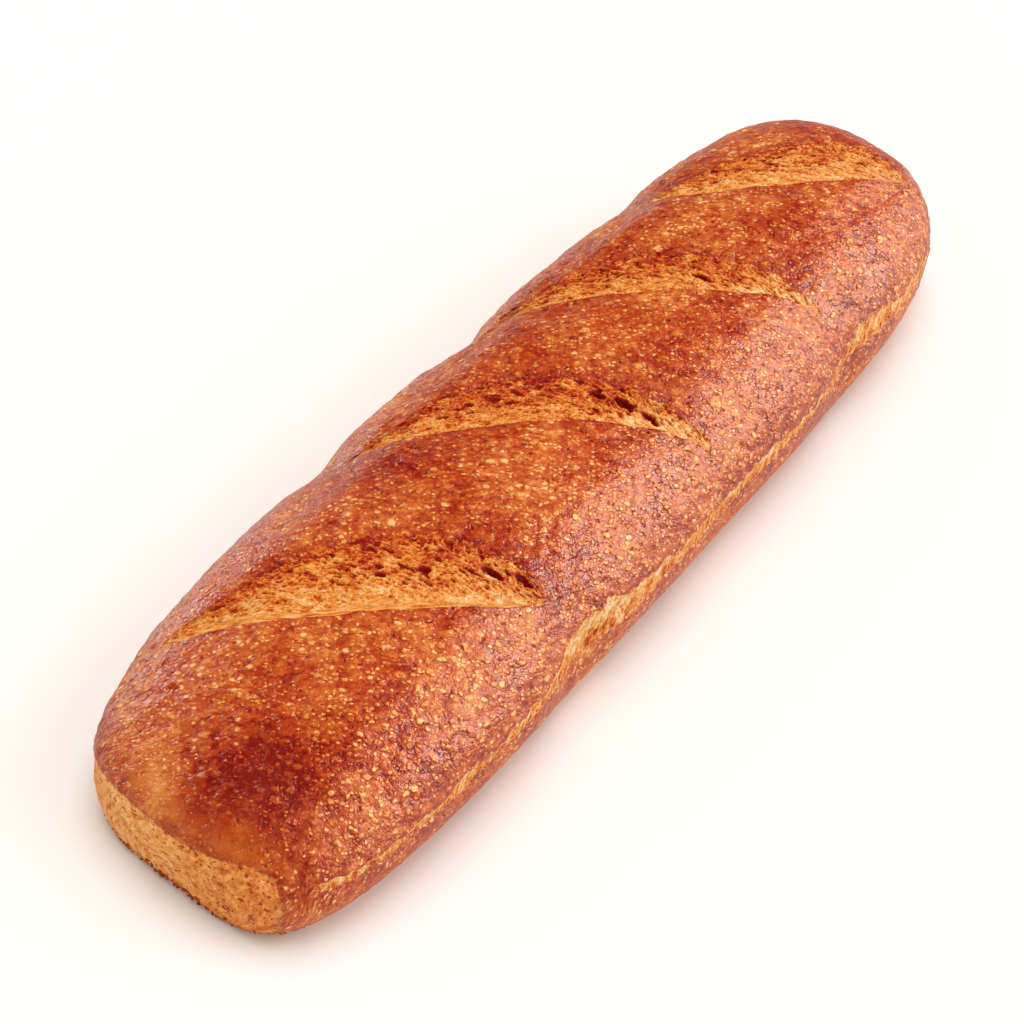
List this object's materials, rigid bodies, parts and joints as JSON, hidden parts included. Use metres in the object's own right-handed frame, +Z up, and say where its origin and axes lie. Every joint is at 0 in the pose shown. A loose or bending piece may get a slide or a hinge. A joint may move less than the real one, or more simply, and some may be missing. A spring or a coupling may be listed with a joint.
{
  "type": "french bread loaf",
  "caption": "Short wholegrain French bread loaf lying on its flat base, with oblique scored openings across a domed brown crust.",
  "frame": {"origin": "middle of the loaf's length and width, on the surface that it lies on", "axes": "+X along the loaf, away from the end whose lower part is pale; +Y across it; +Z up"},
  "size_m": [0.36, 0.1076, 0.0627],
  "materials": {
    "baked_crust": "baked crust, reddish brown with paler bran flecks, satin; the open scores and the tears show golden crumb"
  },
  "bodies": {
    "root": {"loaf": "baked_crust"}
  },
  "joints": []
}
